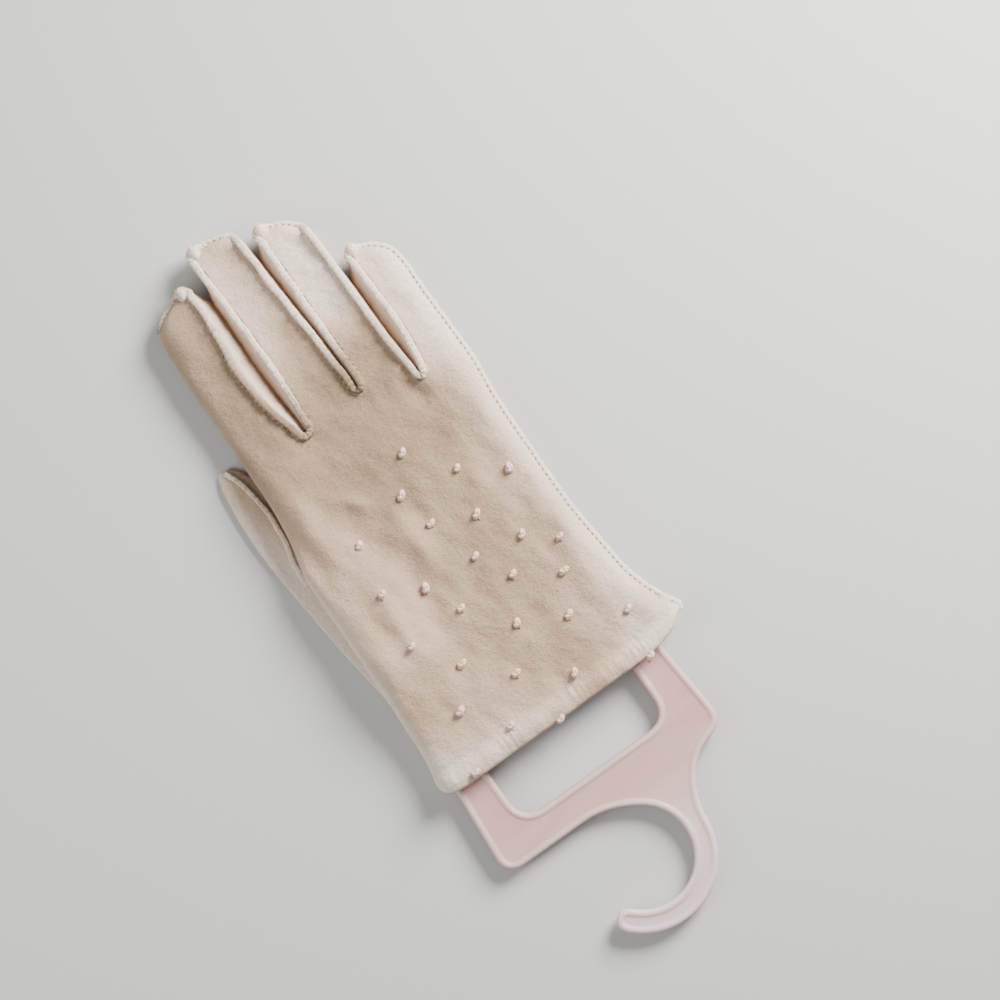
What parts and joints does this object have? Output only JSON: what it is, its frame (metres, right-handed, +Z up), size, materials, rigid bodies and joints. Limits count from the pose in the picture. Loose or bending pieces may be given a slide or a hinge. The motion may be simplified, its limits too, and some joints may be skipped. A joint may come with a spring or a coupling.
{
  "type": "wrist length dress glove on a glove hanger",
  "caption": "Short cloth dress glove for the right hand with raised outseams, forked finger sides and a knotted back, open at the cuff, on a flat plastic hanger.",
  "frame": {"origin": "on the resting surface under the middle of the cuff's hem", "axes": "+Y from the cuff to the fingertips, +X to the little finger, +Z up out of the back of the hand"},
  "size_m": [0.1129, 0.299, 0.0181],
  "materials": {
    "glove_cloth": "matt brushed cotton cloth, warm cream",
    "side_cloth": "the same cloth, in a pinker shade",
    "knot_thread": "pale pink embroidery thread",
    "hanger_plastic": "moulded plastic, pale pink, satin"
  },
  "bodies": {
    "root": {"trank": "glove_cloth", "fourchette_index_middle": "side_cloth", "fourchette_middle_ring": "side_cloth", "fourchette_ring_little": "side_cloth", "thumb": "glove_cloth", "hanger": "hanger_plastic", "knot_01": "knot_thread", "knot_02": "knot_thread", "knot_03": "knot_thread", "knot_04": "knot_thread", "knot_05": "knot_thread", "knot_06": "knot_thread", "knot_07": "knot_thread", "knot_08": "knot_thread", "knot_09": "knot_thread", "knot_10": "knot_thread", "knot_11": "knot_thread", "knot_12": "knot_thread", "knot_13": "knot_thread", "knot_14": "knot_thread", "knot_15": "knot_thread", "knot_16": "knot_thread", "knot_17": "knot_thread", "knot_18": "knot_thread", "knot_19": "knot_thread", "knot_20": "knot_thread", "knot_21": "knot_thread", "knot_22": "knot_thread", "knot_23": "knot_thread", "knot_24": "knot_thread", "knot_25": "knot_thread", "knot_26": "knot_thread", "knot_27": "knot_thread"}
  },
  "joints": []
}
